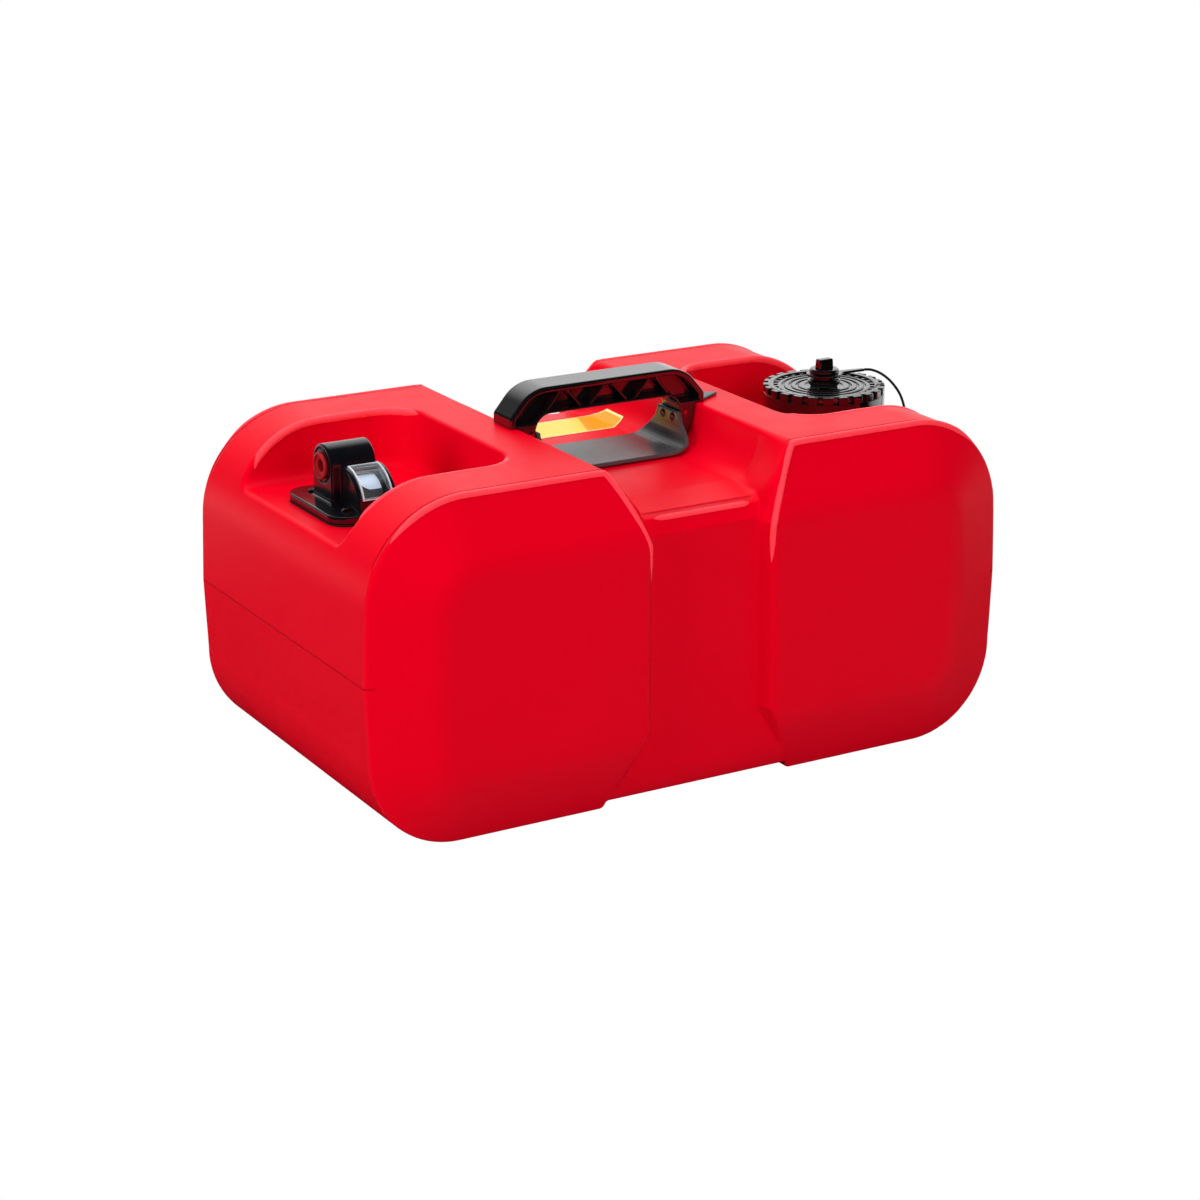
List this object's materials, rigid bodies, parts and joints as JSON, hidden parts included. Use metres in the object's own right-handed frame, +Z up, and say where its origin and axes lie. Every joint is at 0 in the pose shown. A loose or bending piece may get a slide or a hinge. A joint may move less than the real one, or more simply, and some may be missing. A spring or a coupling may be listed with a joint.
{
  "type": "portable outboard fuel tank",
  "caption": "Two-lobed portable fuel tank with a carrying handle over its waist, a float gauge with fuel outlet and a vented, tethered screw cap.",
  "frame": {"origin": "on the ground under the middle of the tank's outline", "axes": "+X along the tank from the gauge end to the filler end, +Y to the back, +Z up"},
  "size_m": [0.54, 0.327, 0.289],
  "materials": {
    "shell_red": "satin blow-moulded polyethylene",
    "handle_black": "satin moulded plastic",
    "strap_grey": "smooth moulded plastic",
    "screw_steel": "plain",
    "screw_black": "black coating",
    "label_film": "blank film in two yellows",
    "cap_black": "satin moulded plastic",
    "seal_rubber": "fuel-resistant rubber",
    "cord_black": "moulded cord",
    "lens_clear": "clear",
    "drum_white": "printed scale, blank",
    "natural_plastic": "natural acetal",
    "float_black": "closed-cell foam",
    "plug_red": "smooth moulded plastic"
  },
  "bodies": {
    "tank": {"tank_shell": "shell_red", "handle": "handle_black", "handle_strap": "strap_grey", "handle_screws": "screw_steel", "blank_label": "label_film", "tether_cord": "cord_black", "tether_anchor": "cap_black", "gauge_housing": "cap_black", "flange_gasket": "seal_rubber", "flange_screws": "screw_black", "gauge_lens": "lens_clear", "drum_axle": "screw_steel", "arm_axle": "screw_steel", "pickup_tube": "natural_plastic", "pickup_filter": "natural_plastic"},
    "tether_carrier": {"tether_ring": "cap_black"},
    "cap": {"fill_cap": "cap_black", "cap_gasket": "seal_rubber"},
    "vent_washer": {"vent_seal": "seal_rubber"},
    "knob": {"vent_knob": "cap_black"},
    "float_arm": {"arm_hub": "cap_black", "float_wire": "screw_steel", "float": "float_black", "float_clip": "screw_steel"},
    "link": {"link_rod": "natural_plastic"},
    "drum": {"gauge_drum": "drum_white"},
    "plug": {"outlet_plug": "plug_red"}
  },
  "joints": [
    {"name": "cap_lift", "type": "slide", "parent": "tank", "child": "tether_carrier", "axis": [0, 0, 1], "range_m": [0, 0.018], "deforming": ["tether_cord"]},
    {"name": "cap_turn", "type": "hinge", "parent": "tether_carrier", "child": "cap", "pos_m": [0.205, 0, 0.216], "axis": [0, 0, 1], "range_deg": [0, 1080]},
    {"name": "vent_lift", "type": "slide", "parent": "cap", "child": "vent_washer", "axis": [0, 0, 1], "range_m": [0, 0.002]},
    {"name": "vent_turn", "type": "hinge", "parent": "vent_washer", "child": "knob", "pos_m": [0.205, 0, 0.256], "axis": [0, 0, 1], "range_deg": [0, 360]},
    {"name": "float_swing", "type": "hinge", "parent": "tank", "child": "float_arm", "pos_m": [-0.205, -0.0105, 0.18], "axis": [1, 0, 0], "range_deg": [0, 75]},
    {"name": "link_swing", "type": "hinge", "parent": "float_arm", "child": "link", "pos_m": [-0.205, -0.01685, 0.18487], "axis": [1, 0, 0], "range_deg": [-75, 0]},
    {"name": "drum_turn", "type": "hinge", "parent": "tank", "child": "drum", "pos_m": [-0.205, -0.0105, 0.222], "axis": [1, 0, 0], "range_deg": [0, 75]},
    {"name": "plug_pull", "type": "slide", "parent": "tank", "child": "plug", "axis": [-1, 0, 0], "range_m": [0, 0.014]}
  ],
  "couplings": [
    {"joint": "cap_lift", "follows": "cap_turn", "m_per_rad": 0.00095492},
    {"joint": "vent_lift", "follows": "vent_turn", "m_per_rad": 0.0003183},
    {"joint": "link_swing", "follows": "float_swing", "ratio": -1},
    {"joint": "drum_turn", "follows": "float_swing", "ratio": 1}
  ]
}
